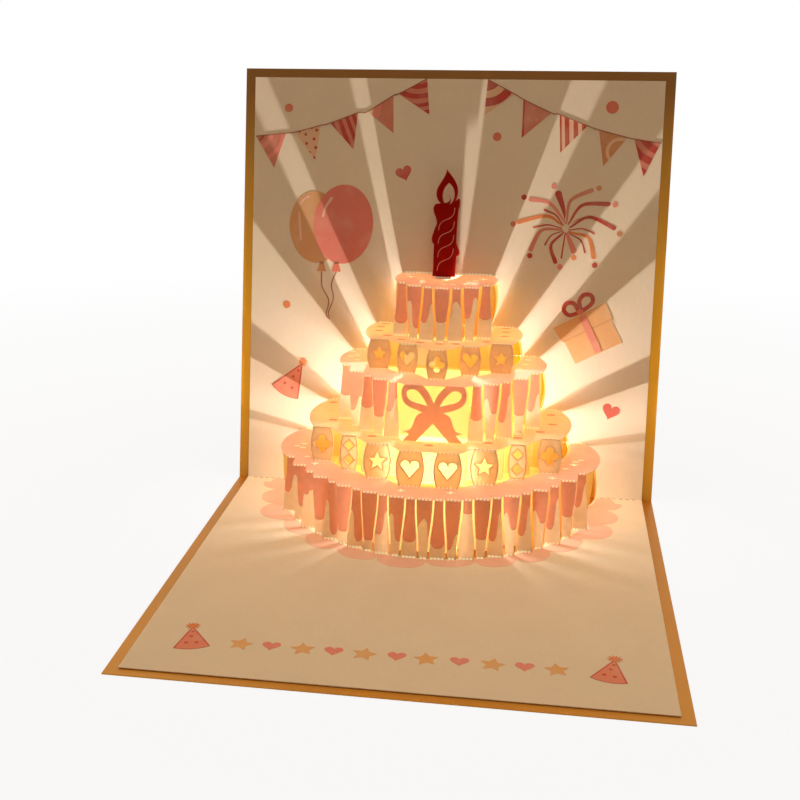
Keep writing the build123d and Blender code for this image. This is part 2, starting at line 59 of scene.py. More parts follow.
# Print: how far it stands on the paper and reaches into it, and the steps from layer to layer
PRINT_LIFT = 0.06
PRINT_SINK = 0.05
LIFT_STEP = 0.03
SINK_STEP = 0.002


def back_point(x, slant, front=PRINT_LIFT):
    """Point in front of the back page: x across, slant up the page."""
    return Vector((
        x,
        FOLD_Y + slant * math.sin(LEAN) - front * math.cos(LEAN),
        FOLD_Z + slant * math.cos(LEAN) + front * math.sin(LEAN),
    )) * MM


def base_point(x, depth, lift=PRINT_LIFT):
    """Point above the base page: x across, depth forward from the fold."""
    return Vector((x, FOLD_Y - depth, FOLD_Z + lift)) * MM


def shelf_point(top):
    """Points on the shelf that is so high along the lean: x across, depth from the back page."""
    def point(x, depth, lift):
        return base_point(x, depth - top * math.sin(LEAN), lift + top * math.cos(LEAN))
    return point


def front_point(depth):
    """Points on an upright that stands so far in front of the back page."""
    def point(x, slant, lift):
        return back_point(x, slant, 0) + Vector((0, -depth - lift, 0)) * MM
    return point


# Colours
def srgb(red, green, blue):
    """Linear colour from 0 to 255 values as seen on a screen."""
    def linear(value):
        value /= 255
        return value / 12.92 if value <= 0.04045 else ((value + 0.055) / 1.055) ** 2.4
    return (linear(red), linear(green), linear(blue), 1)


PAPER = srgb(246, 229, 203)
CLEAR = srgb(255, 250, 240)
# Gold of the liner where it lies in shadow: painted shade
LINER_PAINTED_SHADE = srgb(246, 176, 30)
LINER_YELLOW = srgb(253, 232, 148)
LINER_CLEAR = srgb(255, 245, 204)
SALMON = srgb(234, 172, 142)
SALMON_EDGE = srgb(212, 138, 110)
PALE_SALMON = srgb(244, 186, 168)
PALE_SALMON_EDGE = srgb(220, 146, 124)
PINK = srgb(252, 215, 202)
PEACH = srgb(252, 226, 190)
CREAM = srgb(250, 236, 206)
MILK = srgb(252, 244, 226)
BOW_PINK = srgb(240, 184, 166)
WIDE_TILE = srgb(252, 230, 190)
NARROW_TILE = srgb(252, 226, 184)
TOP_PINK = srgb(254, 206, 186)
INKS = {
    "dark_red": (194, 70, 56), "rose": (222, 136, 112), "peach": (244, 196, 156),
    "tan": (216, 148, 98), "string": (164, 100, 70), "balloon_tan": (228, 168, 114),
    "balloon_pink": (236, 134, 116), "sheen": (250, 200, 176), "heart": (214, 104, 86),
    "dot": (230, 126, 98), "orange": (234, 138, 78), "pink": (242, 146, 128),
    "star": (240, 182, 116), "gift": (240, 182, 124), "ribbon": (236, 148, 124),
    "puddle": (247, 196, 172), "mark": (238, 160, 128), "score_and_highlight": (232, 150, 130),
    "hat": (240, 148, 118), "hat_line": (212, 92, 78), "pale": (252, 226, 186),
}

# Tiers from the base upwards: floor and top along the lean, half width, colours of front and
# shelf, and of the icing with its rim
Tier = namedtuple("Tier", "floor top half_width front shelf icing")
TIERS = (
    Tier(0.0, 22.9, 66.8, CREAM, PINK, (SALMON, SALMON_EDGE)),
    Tier(22.9, 36.7, 54.5, WIDE_TILE, PEACH, None),
    Tier(36.7, 59.2, 43.4, MILK, PINK, (PALE_SALMON, PALE_SALMON_EDGE)),
    Tier(59.2, 71.2, 33.0, NARROW_TILE, PEACH, None),
    Tier(71.2, 93.2, 21.5, MILK, TOP_PINK, (PALE_SALMON, PALE_SALMON_EDGE)),
)
LOWER, WIDE_BAND, MIDDLE, NARROW_BAND, UPPER = TIERS


# Icing drips: each strip's share of its half pitch and the height where the icing ends
def full(tip):
    """Drip as wide as its strip."""
    return [(-1, tip + 2.4), (-0.75, tip + 0.8), (-0.35, tip + 0.1), (0.35, tip + 0.1),
            (0.75, tip + 0.8), (1, tip + 2.4)]


def left(tip, notch):
    """Drip on the left of its strip, with a bare arch on the right."""
    return [(-1, tip + 1.5), (-0.7, tip + 0.3), (-0.4, tip), (-0.1, tip + 0.5), (0.15, tip + 2.5),
            (0.35, notch - 1.5), (0.6, notch), (0.85, notch - 0.6), (1, notch - 1.5)]


def right(notch, tip):
    """Drip on the right of its strip, with a bare arch on the left."""
    return [(-share, height) for share, height in left(tip, notch)[::-1]]


def arch(low, notch, high):
    """Bare arch between two thin drips."""
    return [(-1, low), (-0.65, low + 2.5), (-0.45, notch - 1.5), (0, notch), (0.45, notch - 1.5),
            (0.65, high + 2.5), (1, high)]


LOWER_DRIPS = (
    left(7.8, 17.0), right(19.0, 5.6), left(13.2, 16.1), full(5.4), right(15.6, 1.6), full(4.5),
    right(14.8, 2.1), full(3.9), left(7.1, 16.7), right(16.4, 5.3), full(5.6),
    arch(10.7, 15.5, 5.0), full(3.8), left(3.5, 9.9), full(17.2), full(6.9), left(5.7, 17.8),
    right(16.4, 9.5), left(6.0, 18.0), right(15.0, 9.7), left(5.3, 18.2), full(8.1),
    left(8.9, 19.0),
)
MIDDLE_DRIPS = (
    full(9.5), left(6.2, 12.4), full(9.2), full(7.1), left(10.3, 16.3),
    full(8.4), right(16.9, 10.5), left(6.0, 17.6), full(7.3), left(6.6, 14.3),
)
UPPER_DRIPS = (
    full(4.8), right(15.9, 4.3), left(7.2, 15.4), full(7.7), arch(8.5, 16.7, 11.4),
    left(9.0, 18.0), full(7.6),
)


def centred_strips(pitch, beside):
    """Strips on both sides of a middle one: x, and whether the top end is the wide one."""
    return [(i * pitch, i % 2 == 0) for i in range(-beside, beside + 1)]


def split_strips(pitch, first, each_side):
    """Strips on both sides of the bow: x, and whether the top end is the wide one."""
    return sorted(
        (side * (first + i * pitch), i % 2 == 1) for side in (-1, 1) for i in range(each_side)
    )


# Strips of the round tiers, on an arc from near to depth in front of the back page. A run is the
# number of strips that share one curve of icing.
LOWER_PITCH, MIDDLE_PITCH, UPPER_PITCH = 5.37, 5.52, 5.77
StripRow = namedtuple("StripRow", "tier strips pitch near depth drips run")
STRIP_ROWS = (
    StripRow(LOWER, centred_strips(LOWER_PITCH, 11), LOWER_PITCH, 3.5, 76.0, LOWER_DRIPS, 8),
    StripRow(MIDDLE, split_strips(MIDDLE_PITCH, 16.6, 5), MIDDLE_PITCH, 5.5, 52.0, MIDDLE_DRIPS, 5),
    StripRow(UPPER, centred_strips(UPPER_PITCH, 3), UPPER_PITCH, 8.6, 30.0, UPPER_DRIPS, 7),
)
DRIP_SPREAD = 0.98
LOWEST_DRIP = 0.4


def drip_runs(row):
    """Points of the line where the icing ends, from left to right, run by run."""
    for start in range(0, len(row.strips), row.run):
        part = slice(start, start + row.run)
        yield [
            (x + share * row.pitch / 2 * DRIP_SPREAD, row.tier.floor + max(height, LOWEST_DRIP))
            for (x, _), drip in zip(row.strips[part], row.drips[part])
            for share, height in drip
        ]


# Materials
FIBRE_STRETCH = (1.0, 0.35, 0.35)
PAPER_ROUGHNESS, PAPER_TOOTH = 0.85, 0.25
BUMP_DISTANCE = 0.0002


class Nodes:
    """Short way to make and join the nodes of one tree."""

    def __init__(self, owner, output):
        owner.use_nodes = True
        self.owner = owner
        self.tree = owner.node_tree
        self.tree.nodes.clear()
        self.output = self.add(output)

    def add(self, kind, inputs=None, **settings):
        node = self.tree.nodes.new(kind)
        for key, value in settings.items():
            setattr(node, key, value)
        for key, value in (inputs or {}).items():
            self.put(node.inputs[key], value)
        return node

    def put(self, socket, value):
        if isinstance(value, bpy.types.NodeSocket):
            self.tree.links.new(value, socket)
        else:
            socket.default_value = value

    def math(self, operation, first, second=0.0, third=0.0, clamp=False):
        node = self.add("ShaderNodeMath", {0: first, 1: second, 2: third}, operation=operation)
        node.use_clamp = clamp
        return node.outputs[0]

    def scaled(self, value, amount, base=0.0):
        """The value times an amount, added to a base."""
        return self.math("MULTIPLY_ADD", value, amount, base)

    def both(self, first, second):
        """1 where two masks are 1."""
        return self.math("MULTIPLY", first, second)

    def step(self, value, edge, soft):
        """0 below the edge, 1 above it."""
        node = self.add("ShaderNodeMapRange", {0: value, 1: edge - soft, 2: edge + soft})
        return node.outputs[0]

    def mix(self, factor, first, second, blend="MIX"):
        node = self.add("ShaderNodeMix", data_type="RGBA", blend_type=blend)
        for index, value in ((0, factor), (6, first), (7, second)):
            self.put(node.inputs[index], value)
        return node.outputs[2]

    def toned(self, colour, shade):
        """Colour times a shade of grey."""
        grey = self.add("ShaderNodeCombineColor", {0: shade, 1: shade, 2: shade}).outputs[0]
        return self.mix(1.0, colour, grey, "MULTIPLY")

    def noise(self, scale, detail, stretch=None):
        where = self.add("ShaderNodeTexCoord").outputs["Object"]
        if stretch:
            where = self.add("ShaderNodeMapping", {"Vector": where, "Scale": stretch}).outputs[0]
        node = self.add("ShaderNodeTexNoise", {"Vector": where, "Scale": scale, "Detail": detail})
        return node.outputs["Fac"]

    def fibres(self):
        """Fine grain of paper, drawn out across the card."""
        return self.noise(900.0, 3.0, FIBRE_STRETCH)

    def place(self):
        """Place on the object in metres: x, y and z."""
        where = self.add("ShaderNodeTexCoord").outputs["Object"]
        return self.add("ShaderNodeSeparateXYZ", {0: where}).outputs

    def slant(self, z):
        """Distance up the lean in millimetres, of a height in metres."""
        return self.scaled(z, 1 / MM / math.cos(LEAN), -FOLD_Z / math.cos(LEAN))

    def surface(self, colour, roughness, bump, tooth, thin=None, through=None, **sockets):
        """Principled surface, mixed by the share thin with light that comes through."""
        bumps = {"Height": bump, "Strength": tooth, "Distance": BUMP_DISTANCE}
        normal = self.add("ShaderNodeBump", bumps).outputs[0]
        inputs = {"Base Color": colour, "Roughness": roughness, "Normal": normal, **sockets}
        shader = self.add("ShaderNodeBsdfPrincipled", inputs).outputs[0]
        if thin is not None:
            passed = self.add("ShaderNodeBsdfTranslucent", {"Color": through}).outputs[0]
            shader = self.add("ShaderNodeMixShader", {0: thin, 1: shader, 2: passed}).outputs[0]
        self.put(self.output.inputs["Surface"], shader)
        return self.owner


def look_nodes(name):
    """Nodes of a new material."""
    return Nodes(bpy.data.materials.new(name), "ShaderNodeOutputMaterial")


def paper_shade(nodes, cloud, fibres, cloudy, fibrous):
    """Shade of paper: a faint cloud of tone and fine fibres."""
    shade = nodes.scaled(cloud, cloudy, 1 - cloudy / 2)
    return nodes.scaled(nodes.math("SUBTRACT", fibres, 0.5), fibrous, shade)


def paper(name, colour):
    """Plain uncoated paper with a slight tooth."""
    nodes = look_nodes(name)
    fibres = nodes.fibres()
    shade = paper_shade(nodes, nodes.noise(45.0, 4.0), fibres, cloudy=0.1, fibrous=0.05)
    return nodes.surface(nodes.toned(colour, shade), PAPER_ROUGHNESS, fibres, PAPER_TOOTH)


# Print of the cake sheet, in millimetres: where it starts above a fold and below a shelf, and how
# soft its edges are. The cake starts a little in front of the back page and above the base page.
PRINT_START, SHELF_START, PRINT_SOFT = 0.3, 0.6, 0.1
CAKE_DEPTH, CAKE_DEPTH_SOFT = 1.2, 0.05
CAKE_LIFT, CAKE_LIFT_SOFT = 0.5, 0.1
RIM_WIDTH, RIM_SOFT = 0.5, 0.12
RUN_MARGIN, BOW_MARGIN = 0.6, 0.5
DRIP_CONTRAST = 60.0
END_SHARE, END_SOFT = 0.02, 0.01
FACING, FACING_SOFT = 0.8, 0.05

# Light through the cake: its share in the lowest tier and above it, where the upper share starts
# below the lowest shelf, and how much ink tints it
LOWER_THIN, UPPER_THIN, UPPER_START, INK_SHADE = 0.46, 0.5, 0.5, 0.6
LINER_THIN, LINER_SOFT = 0.45, 0.05


def drip_curve(nodes, shares, share):
    """Height share of the icing's end, along the shares of one run."""
    node = nodes.add("ShaderNodeFloatCurve", {"Value": share})
    curve = node.mapping.curves[0]
    curve.points[0].location = (0, shares[0][1])
    curve.points[1].location = (1, shares[-1][1])
    for point in shares[1:-1]:
        curve.points.new(*point)
    for point in curve.points:
        point.handle_type = "VECTOR"
    node.mapping.update()
    return node.outputs[0]


def drip_masks(nodes, tier, points, across, slant):
    """1 where icing covers the strips of one run, and 1 on its lower rim."""
    low, high = points[0][0], points[-1][0]
    span, rise = high - low, tier.top - tier.floor
    shares = [((x - low) / span, (height - tier.floor) / rise) for x, height in points]
    share = nodes.scaled(across, 1 / span, -low / span)
    height = nodes.scaled(slant, 1 / rise, -tier.floor / rise)
    above = nodes.math("SUBTRACT", height, drip_curve(nodes, shares, share))
    over = nodes.math("MULTIPLY", above, DRIP_CONTRAST, clamp=True)
    inside = nodes.both(
        nodes.step(height, END_SHARE, END_SOFT),
        nodes.step(height, 1 + END_SHARE, -END_SOFT),
    )
    beside = nodes.math("COMPARE", share, 0.5, 0.5 + RUN_MARGIN / span)
    mask = nodes.both(nodes.both(over, inside), beside)
    return mask, nodes.both(mask, nodes.step(above, RIM_WIDTH / rise, -RIM_SOFT / rise))


def sheet_ink(nodes, across, slant, level, forward):
    """Colours of the tiers from the base upwards, each with its icing, bow and shelf."""
    ink = CREAM
    for tier in TIERS:
        above = nodes.step(slant, tier.floor + PRINT_START, PRINT_SOFT)
        ink = nodes.mix(above, ink, tier.front)
        for row in STRIP_ROWS:
            if row.tier is not tier:
                continue
            for points in drip_runs(row):
                masks = drip_masks(nodes, tier, points, across, slant)
                for mask, colour in zip(masks, tier.icing):
                    ink = nodes.mix(nodes.both(mask, forward), ink, colour)
        if tier is MIDDLE:
            bow = nodes.math("COMPARE", across, 0.0, BOW_HALF_WIDTH + BOW_MARGIN)
            ink = nodes.mix(nodes.both(nodes.both(bow, above), forward), ink, BOW_PINK)
        shelf = nodes.both(nodes.step(slant, tier.top - SHELF_START, PRINT_SOFT), level)
        ink = nodes.mix(shelf, ink, tier.shelf)
    return ink


def sheet_material():
    """Cake sheet: plain pages, and a printed cake that lets light through."""
    nodes = look_nodes("sheet_paper_look")
    x, y, z = nodes.place()
    across, slant = nodes.scaled(x, 1 / MM), nodes.slant(z)
    depth = nodes.scaled(slant, math.sin(LEAN), nodes.scaled(y, -1 / MM, FOLD_Y))
    normal = nodes.add("ShaderNodeNewGeometry").outputs["True Normal"]
    _, normal_y, normal_z = nodes.add("ShaderNodeSeparateXYZ", {0: normal}).outputs
    level = nodes.step(normal_z, FACING, FACING_SOFT)
    forward = nodes.step(nodes.scaled(normal_y, -1.0), FACING, FACING_SOFT)
    cake = nodes.both(
        nodes.step(depth, CAKE_DEPTH, CAKE_DEPTH_SOFT),
        nodes.step(z, (FOLD_Z + CAKE_LIFT) * MM, CAKE_LIFT_SOFT * MM),
    )
    printed = nodes.both(cake, nodes.math("MAXIMUM", level, forward))
    cloud, mottle, fibres = nodes.noise(60.0, 4.0), nodes.noise(420.0, 3.0), nodes.fibres()
    wash = nodes.scaled(mottle, 0.26, nodes.scaled(cloud, 0.24, 0.76))
    ink = nodes.toned(sheet_ink(nodes, across, slant, level, forward), wash)
    shade = paper_shade(nodes, cloud, fibres, cloudy=0.08, fibrous=0.06)
    colour = nodes.toned(nodes.mix(printed, PAPER, ink), shade)
    through = nodes.mix(printed, CLEAR, nodes.mix(INK_SHADE, CLEAR, ink))
    upper = nodes.step(slant, LOWER.top - UPPER_START, PRINT_SOFT)
    share = nodes.scaled(upper, UPPER_THIN - LOWER_THIN, LOWER_THIN)
    thin = nodes.both(cake, share)
    return nodes.surface(colour, PAPER_ROUGHNESS, fibres, PAPER_TOOTH, thin, through)


def liner_material():
    """Yellow liner paper, with painted shade: deeper gold towards the foot of every tier, where the liner
    lies in shadow.
    """
    nodes = look_nodes("liner_paper_look")
    slant = nodes.slant(nodes.place()[2])
    colour = LINER_PAINTED_SHADE
    # Painted shade: every tier's liner turns from gold at its foot to yellow at its top.
    for tier in TIERS:
        rise = tier.top - tier.floor
        share = nodes.step(slant, tier.floor + rise / 2, rise / 2)
        shade = nodes.mix(share, LINER_PAINTED_SHADE, LINER_YELLOW)
        colour = nodes.mix(nodes.step(slant, tier.floor, LINER_SOFT), colour, shade)
    fibres = nodes.fibres()
    colour = nodes.toned(colour, nodes.scaled(fibres, 0.08, 0.96))
    return nodes.surface(colour, PAPER_ROUGHNESS, fibres, PAPER_TOOTH, LINER_THIN, LINER_CLEAR)


def candle_card():
    """Red card: matt, with a slight cloud of tone."""
    nodes = look_nodes("candle_card_look")
    colour = nodes.mix(nodes.noise(80.0, 4.0), srgb(150, 8, 2), srgb(172, 16, 6))
    grain = nodes.noise(900.0, 2.0)
    return nodes.surface(colour, 0.9, grain, 0.1, **{"Specular IOR Level": 0.1})


def gold_card():
    """Gold card: a satin metal sheen over a cloud of tone, with painted light a little above the base and
    painted shade, deeper towards the top.
    """
    nodes = look_nodes("cover_gold_look")
    height = nodes.place()[2]
    # Painted light and shade: the gold is painted lighter from a little above the base, and darker towards
    # the top, as light falls on the cover.
    warm = nodes.step(height, edge=0.02, soft=0.02)
    painted_top_shade = nodes.step(height, edge=0.115, soft=0.055)
    colour = nodes.mix(warm, srgb(186, 124, 30), srgb(220, 150, 24))
    colour = nodes.mix(painted_top_shade, colour, srgb(112, 68, 16))
    colour = nodes.toned(colour, nodes.scaled(nodes.noise(30.0, 4.0), 0.3, 0.85))
    grain = nodes.noise(1200.0, 2.0)
    rough = nodes.scaled(grain, 0.12, 0.42)
    return nodes.surface(colour, rough, grain, 0.08, Metallic=0.7)


def metal(name, colour, roughness):
    nodes = look_nodes(name)
    grain = nodes.noise(300.0, 2.0, stretch=(8.0, 1.0, 1.0))
    rough = nodes.scaled(grain, 0.15, roughness - 0.07)
    return nodes.surface(colour, rough, grain, 0.05, Metallic=1.0)


def plastic(name, colour, roughness):
    nodes = look_nodes(name)
    grain = nodes.noise(600.0, 2.0)
    rough = nodes.scaled(grain, 0.1, roughness - 0.05)
    return nodes.surface(colour, rough, grain, 0.05)


def ink_material(name):
    """Water-based ink: uneven tone with a paler bloom here and there."""
    nodes = look_nodes(name + "_ink")
    bloom = nodes.step(nodes.noise(110.0, 5.0), edge=0.62, soft=0.14)
    grain = nodes.noise(1500.0, 2.0)
    colour = nodes.mix(nodes.scaled(bloom, 0.2), srgb(*INKS[name]), PAPER)
    return nodes.surface(nodes.toned(colour, nodes.scaled(grain, 0.08, 0.96)), 0.8, grain, 0.15)


def glow_material():
    """Paper fibres at a fold, with painted light: an emission stands in for the light inside the cake."""
    nodes = look_nodes("fold_glow")
    grain = nodes.noise(700.0, 2.0)
    colour = nodes.mix(grain, srgb(255, 236, 190), srgb(255, 246, 220))
    return nodes.surface(colour, 0.8, grain, 0.1, **{
        "Emission Color": srgb(255, 236, 190), "Emission Strength": 0.5,
    })


looks = {
    "cover": gold_card(),
    "inner_sheet": sheet_material(),
    "yellow_liner": liner_material(),
    "liner_patch": paper("patch_paper_look", srgb(250, 240, 215)),
    "candle": candle_card(),
    "foam_pad": paper("pad_foam_look", srgb(235, 235, 230)),
    "circuit_board": plastic("board_green_look", srgb(24, 92, 52), 0.4),
    "coin_cell": metal("cell_steel_look", srgb(196, 196, 192), 0.3),
    "cell_clip": metal("clip_steel_look", srgb(205, 204, 200), 0.35),
    "chip_blob": plastic("blob_resin_look", srgb(18, 18, 20), 0.35),
    "led_body": plastic("led_resin_look", srgb(255, 240, 210), 0.2),
    "led_leads": metal("lead_metal_look", srgb(190, 190, 188), 0.35),
    "contact_leaf": metal("leaf_brass_look", srgb(196, 160, 84), 0.35),
    "pull_tongue": plastic("tongue_film_look", srgb(225, 230, 232), 0.25),
}
for name, material in looks.items():
    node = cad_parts[name]
    node.data.materials.clear()
    node.data.materials.append(material)


def add_object(name, data):
    """New object in the scene."""
    made = bpy.data.objects.new(name, data)
    scene.collection.objects.link(made)
    return made


# Print: thin closed pieces laid on the paper
SAME_SPOT = 1e-7
# The glow ink is painted light: it shines on its own.
ink_looks = {"glow": glow_material()}


def ink_look(name):
    """Material of one ink, made once."""
    if name not in ink_looks:
        ink_looks[name] = ink_material(name)
    return ink_looks[name]


def slab(outlines, point, layer):
    """Closed mesh of flat outlines, from above the paper to inside it."""
    lift = PRINT_LIFT + layer * LIFT_STEP
    down = point(0, 0, -PRINT_SINK - layer * SINK_STEP) - point(0, 0, lift)
    area = bmesh.new()
    for outline in outlines:
        area.faces.new([area.verts.new(point(u, v, lift)) for u, v in outline])
    bmesh.ops.remove_doubles(area, verts=area.verts, dist=SAME_SPOT)
    made = bmesh.ops.extrude_face_region(area, geom=area.faces[:])["geom"]
    moved = [part for part in made if isinstance(part, bmesh.types.BMVert)]
    bmesh.ops.translate(area, verts=moved, vec=down)
    bmesh.ops.recalc_face_normals(area, faces=area.faces)
    return area


class Motif:
    """Print in one piece: outlines in millimetres on a page or shelf, each in one ink."""

    def __init__(self, name, point, slot="sheet_paper"):
        self.name, self.point, self.slot = name, point, slot
        self.areas = []

    def add(self, ink, outlines, layer=0, point=None):
        self.areas.append((ink, layer, outlines, point or self.point))

    def build(self):
        inks = []
        mesh = bpy.data.meshes.new(self.name)
        whole = bmesh.new()
        for ink, layer, outlines, point in self.areas:
            if ink not in inks:
                inks.append(ink)
                mesh.materials.append(ink_look(ink))
            area = slab(outlines, point, layer)
            for face in area.faces:
                face.material_index = inks.index(ink)
            part = bpy.data.meshes.new("part")
            area.to_mesh(part)
            area.free()
            whole.from_mesh(part)
            bpy.data.meshes.remove(part)
        whole.to_mesh(mesh)
        whole.free()
        piece = add_object(self.name, mesh)
        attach(piece, "root")


# Outlines
def smooth(points, pieces=6):
    """More points, on a smooth curve through the given ones."""
    ends = [points[0], *points, points[-1]]
    made = []
    for a, b, c, d in zip(ends, ends[1:], ends[2:], ends[3:]):
        for i in range(pieces):
            t = i / pieces
            made.append(tuple(
                (2 * q + (r - p) * t + (2 * p - 5 * q + 4 * r - s) * t ** 2
                 + (3 * q - p - 3 * r + s) * t ** 3) / 2
                for p, q, r, s in zip(a, b, c, d)
            ))
    return made + [tuple(points[-1])]


def stroke(points, start, end, cap=5):
    """Outline of a brush stroke along a smooth line, from one width to another, with a round end."""
    line = [Vector(p) for p in smooth(points)]
    steps = len(line) - 1
    sides = [[], []]
    for i, spot in enumerate(line):
        along = (line[min(i + 1, steps)] - line[max(i - 1, 0)]).normalized()
        half = (start + (end - start) * i / steps) / 2
        for side, way in zip(sides, (1, -1)):
            side.append(spot + Vector((along.y, -along.x)) * way * half)
    along = (line[-1] - line[-2]).normalized()
    across = Vector((along.y, -along.x))
    turns = [math.pi * k / (cap + 1) for k in range(1, cap + 1)]
    tip = [line[-1] + (across * math.cos(a) + along * math.sin(a)) * end / 2 for a in turns]
    return sides[0] + tip + sides[1][::-1]


def turns_round(count):
    """Angles once round."""
    return [2 * math.pi * i / count for i in range(count)]


def placed(points, x, y, turn):
    """Points turned about the origin and moved."""
    cos, sin = math.cos(turn), math.sin(turn)
    return [(x + u * cos - v * sin, y + u * sin + v * cos) for u, v in points]


def oval(x, y, wide, high=None, turn=0.0, count=28):
    high = wide if high is None else high
    return placed([(wide * math.cos(a), high * math.sin(a)) for a in turns_round(count)], x, y, turn)


def heart(x, y, width, turn=0.0, up=1, count=36):
    unit = width / 32
    points = [
        (16 * math.sin(a) ** 3 * unit,
         up * unit * (13 * math.cos(a) - 5 * math.cos(2 * a) - 2 * math.cos(3 * a) - math.cos(4 * a)))
        for a in turns_round(count)
    ]
    return placed(points, x, y, turn)


def star(x, y, reach, waist, points=5, turn=0.0, up=1):
    made = []
    for i, angle in enumerate(turns_round(points * 2)):
        r = reach * waist if i % 2 else reach
        made.append((x + r * math.sin(angle + turn), y + up * r * math.cos(angle + turn)))
    return made


def clip(outline, corners):
    """Part of a convex outline inside convex corners."""
    outline, corners = [Vector(p) for p in outline], [Vector(p) for p in corners]
    middle = sum(corners, Vector((0, 0))) / len(corners)
    for a, b in zip(corners, corners[1:] + corners[:1]):
        across = Vector((a.y - b.y, b.x - a.x))
        if across.dot(middle - a) < 0:
            across = -across
        kept = []
        for p, q in zip(outline, outline[1:] + outline[:1]):
            side_p, side_q = across.dot(p - a), across.dot(q - a)
            if side_p >= 0:
                kept.append(p)
            if side_p * side_q < 0:
                kept.append(p + (q - p) * side_p / (side_p - side_q))
        outline = kept
    return outline


def clip_all(outlines, corners):
    """Parts of convex outlines inside convex corners, without the empty ones."""
    made = [clip(outline, corners) for outline in outlines]
    return [outline for outline in made if len(outline) > 2]


def rings(centre, *widths, count=40):
    """Ring bands round a centre, each from one radius to another."""
    made = []
    for inner, outer in widths:
        for a, b in zip(turns_round(count), turns_round(count)[1:] + [2 * math.pi]):
            made.append([
                (centre[0] + r * math.cos(t), centre[1] + r * math.sin(t))
                for r, t in ((inner, a), (outer, a), (outer, b), (inner, b))
            ])
    return made


def lines(start, along, *widths, reach=40):
    """Straight bands beside a line from start, each from one distance to another."""
    start, along = Vector(start), Vector(along).normalized()
    across = Vector((-along.y, along.x))
    return [
        [start + along * s * reach + across * w for s, w in ((-1, low), (1, low), (1, high), (-1, high))]
        for low, high in widths
    ]


def spots(radius, count, *places):
    return [oval(x, y, radius, count=count) for x, y in places]


# Bunting: flags by their top corners and tip, each with its ink and patterns: ink, layer, outlines
LEFT_FLAGS = (
    (((-85.3, 150), (-72, 151.5), (-77, 136.5)), "rose", (
        ("pink", 1, rings((-86, 152), (6.5, 8.5), (12.0, 13.5))),
        ("dark_red", 1, rings((-86, 152), (4.0, 5.0))),
    )),
    (((-68, 152), (-57, 155), (-59, 140)), "peach", (
        ("dark_red", 1, spots(
            0.65, 12, (-66.2, 152.2), (-60.8, 153.8), (-58.7, 152.8), (-63.4, 150.9), (-66.4, 149),
            (-59.7, 149), (-62.9, 147.1), (-58.9, 145.4), (-61.7, 143.3), (-59.6, 141),
        )),
    )),
    (((-53, 156), (-41, 160.5), (-42.5, 145)), "rose", (
        ("dark_red", 1, lines((-53, 156), (0.38, -0.92), (0.3, 1.7), (3.4, 5.2), (6.8, 8.4), (9.8, 11.4))),
    )),
    (((-37, 161), (-26, 168), (-25.5, 152)), "rose", (
        ("peach", 1, rings((-40, 163), (0.0, 6.0))),
        ("pink", 2, rings((-40, 163), (6.0, 9.0))),
    )),
    (((-24, 168.5), (-12, 175), (-10.5, 160)), "rose", (
        ("dark_red", 1, rings((-16, 181), (8.5, 10.5), (12.5, 14.6), (16.5, 18.0), (19.6, 21.2))),
    )),
)
RIGHT_FLAGS = (
    (((13.5, 175), (25, 169), (12.5, 160)), "peach", (
        ("dark_red", 1, rings((13, 176.5), (0.0, 6.4), (9.4, 12.8))),
    )),
    (((28.5, 167), (40.5, 161.5), (28.5, 151)), "rose", (
        ("pink", 1, spots(0.6, 10, (33, 163), (30.8, 158.8), (34.4, 158.6))),
        ("dark_red", 1, lines((28.5, 167), (0, -1), (-0.1, 0.7))),
    )),
    (((43.5, 161), (55.5, 156.5), (44.5, 145)), "peach", (
        ("dark_red", 1, lines((43.5, 161), (0.06, -1), (0.2, 0.9), (2.2, 4.0), (5.8, 7.6), (9.2, 11))),
    )),
    (((60, 155), (72, 152), (62.5, 140)), "tan", (
        ("peach", 1, rings((69, 146), (4.5, 5.8))),
    )),
    (((74.5, 151.5), (85.3, 150), (79, 136)), "rose", (
        ("dark_red", 1, rings((87, 156), (3.5, 6.4), (8.4, 11.2), (13.4, 16.2), (18.6, 21))),
    )),
)
STRING_WIDTH, STRING_DROP, STRING_LAYER = 0.4, 0.2, 3


def draw_bunting():
    bunting = Motif("bunting", back_point)
    for flags in (LEFT_FLAGS, RIGHT_FLAGS):
        line = [(x, y - STRING_DROP) for corners, _, _ in flags for x, y in corners[:2]]
        bunting.add("string", [stroke(line, STRING_WIDTH, STRING_WIDTH)], STRING_LAYER)
    for corners, ink, _ in LEFT_FLAGS + RIGHT_FLAGS:
        bunting.add(ink, [corners])
    for corners, _, patterns in LEFT_FLAGS + RIGHT_FLAGS:
        for ink, layer, outlines in patterns:
            bunting.add(ink, clip_all(outlines, corners), layer)
    bunting.build()


def draw_balloons():
    """Two balloons with their sheen, knots and cords."""
    balloons = Motif("balloons", back_point)
    balloons.add("balloon_tan", [oval(-58, 111.5, 11.5, 15.5, 0.1, 40)])
    balloons.add("balloon_pink", [oval(-46, 113, 13, 17, -0.06, 40)], 1)
    balloons.add("sheen", [stroke([(-65.5, 118), (-65, 112), (-64.5, 106)], 0.7, 0.9),
                           stroke([(-65.3, 121), (-63.5, 123.4), (-61.5, 124.6)], 0.5, 1.0)], 1)
    balloons.add("sheen", [stroke([(-55, 116), (-54, 120), (-51.4, 124)], 0.8, 1.3)], 2)
    knot_top, knot_foot = 96.3, 92.6
    for x, ink in ((-55, "tan"), (-48.5, "dot")):
        knot = [(x - 0.9, knot_top), (x - 2.0, knot_foot), (x + 2.0, knot_foot), (x + 0.9, knot_top)]
        balloons.add(ink, [knot], 2)
        balloons.add("string", [oval(x, knot_top, 1.1, 0.5, count=12)], 3)
    cords = (
        [(-55, 92.5), (-54.6, 86), (-51.5, 80), (-52.5, 74), (-51, 72)],
        [(-48.5, 92.5), (-50.5, 87), (-49.5, 81), (-51.5, 75), (-51, 73)],
    )
    balloons.add("string", [stroke(cord, 0.5, 0.5) for cord in cords], 2)
    balloons.build()


